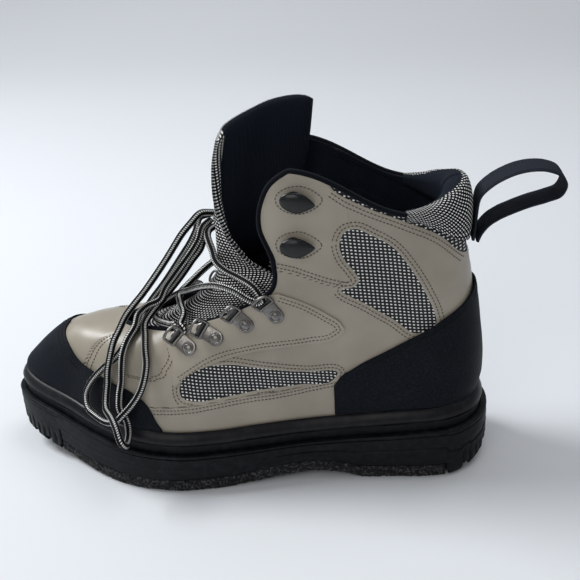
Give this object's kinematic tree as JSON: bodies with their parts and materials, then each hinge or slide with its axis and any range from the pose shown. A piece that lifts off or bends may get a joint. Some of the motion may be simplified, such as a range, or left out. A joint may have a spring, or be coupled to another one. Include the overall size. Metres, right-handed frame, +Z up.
{
  "type": "wading boot",
  "caption": "Left wading boot for standing in rivers, with a felt sole, padded collar, tall tongue, lace loops and hooks, and a webbing pull loop at the heel.",
  "frame": {"origin": "middle of the flat spot under the heel, on the floor", "axes": "+X to the heel, toe at -X, outer side of the foot at -Y, +Z up"},
  "size_m": [0.3595, 0.1303, 0.2358],
  "materials": {
    "felt": "dense speckled wool felt",
    "rubber": "satin moulded rubber",
    "leather": "smooth taupe synthetic leather",
    "cap": "rubberised textile",
    "mesh": "black mesh with raised white dots",
    "knit": "navy ribbed knit lining",
    "steel": "darkened steel",
    "black_metal": "glossy black",
    "web": "woven webbing",
    "lace": "round braid, black with white tracers",
    "footbed": "knit over foam"
  },
  "bodies": {
    "root": {"outsole_rubber": "rubber", "outsole_felt": "felt", "insole": "footbed", "upper": "leather", "toe_cap": "cap", "heel_counter": "cap", "facing_outer": "leather", "facing_inner": "leather", "rand_strip": "rubber", "collar_roll": "mesh", "tongue": "knit", "pull_loop": "web", "lace_loop_outer_1": "steel", "lace_loop_outer_2": "steel", "lace_loop_outer_3": "steel", "lace_loop_outer_4": "steel", "lace_loop_inner_1": "steel", "lace_loop_inner_2": "steel", "lace_loop_inner_3": "steel", "lace_loop_inner_4": "steel", "lace_hook_outer_1": "black_metal", "lace_hook_outer_2": "black_metal", "lace_hook_inner_1": "black_metal", "lace_hook_inner_2": "black_metal", "lace_crossings": "lace", "lace_outer": "lace", "lace_inner": "lace", "lace_knot": "lace"}
  },
  "joints": []
}
